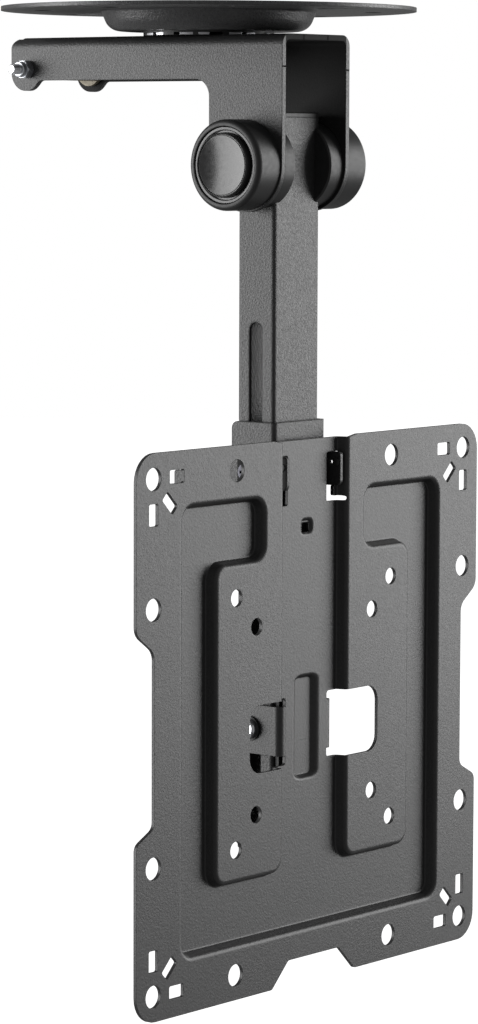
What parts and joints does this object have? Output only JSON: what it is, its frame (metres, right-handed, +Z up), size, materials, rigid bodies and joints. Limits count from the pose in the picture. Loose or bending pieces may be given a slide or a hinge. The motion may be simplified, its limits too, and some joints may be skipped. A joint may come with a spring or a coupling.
{
  "type": "tv ceiling mount",
  "caption": "Fold-up ceiling mount: a round ceiling plate, a swivelling arm, a slotted post that folds up on a hinge, and a pressed steel screen plate that slides on the post.",
  "frame": {"origin": "centre of the ceiling plate's top face, on the swivel axis", "axes": "+Z up into the ceiling, along the swivel axis; +X to the right seen from the front; the screen side faces -Y"},
  "size_m": [0.22, 0.1726, 0.3915],
  "materials": {
    "black_paint": "fine-textured charcoal black powder coat",
    "zinc": "bright zinc plate",
    "yellow_zinc": "yellow zinc plate",
    "black_plastic": "satin black moulded plastic",
    "glide_plastic": "matt dark grey moulded plastic"
  },
  "bodies": {
    "ceiling": {"ceiling_plate": "black_paint", "swivel_bolt": "zinc", "swivel_washer": "glide_plastic", "lower_washer": "glide_plastic", "steel_washer": "zinc", "swivel_nut": "zinc"},
    "arm": {"arm_bracket": "black_paint", "hinge_bolt": "zinc", "hinge_nut": "zinc", "hinge_cap_left": "black_plastic", "hinge_cap_right": "black_plastic", "cap_button_left": "black_plastic", "cap_button_right": "black_plastic", "latch_bolt": "zinc", "latch_nut": "zinc", "latch_spacer": "zinc"},
    "latch": {"latch_hook": "yellow_zinc"},
    "post": {"post_tube": "black_paint", "hinge_bush": "zinc", "post_top_plug": "black_plastic", "post_end_cap": "black_plastic", "hinge_cheek_left": "black_plastic", "hinge_cheek_right": "black_plastic", "catch_bracket": "black_paint", "catch_pin": "zinc"},
    "carriage": {"screen_plate": "black_paint", "collar": "black_paint", "collar_liner": "glide_plastic", "front_glide": "glide_plastic", "side_glide_left": "glide_plastic", "side_glide_right": "glide_plastic", "collar_boss_left": "glide_plastic", "collar_boss_right": "glide_plastic", "lock_bolt": "zinc", "lock_washers": "zinc", "lock_nut": "zinc", "upper_bolt": "zinc", "upper_washers": "zinc", "upper_nut": "zinc"}
  },
  "joints": [
    {"name": "swivel", "type": "hinge", "parent": "ceiling", "child": "arm", "pos_m": [0, 0, 0], "axis": [0, 0, 1], "continuous": true},
    {"name": "fold", "type": "hinge", "parent": "arm", "child": "post", "pos_m": [0, -0.0367, -0.0631], "axis": [1, 0, 0], "range_deg": [0, 90]},
    {"name": "height", "type": "slide", "parent": "post", "child": "carriage", "axis": [0, 0, 1], "range_m": [-0.039, 0.054]},
    {"name": "latch", "type": "hinge", "parent": "arm", "child": "latch", "pos_m": [0, 0.0798, -0.0245], "axis": [1, 0, 0], "range_deg": [0, 119]}
  ]
}
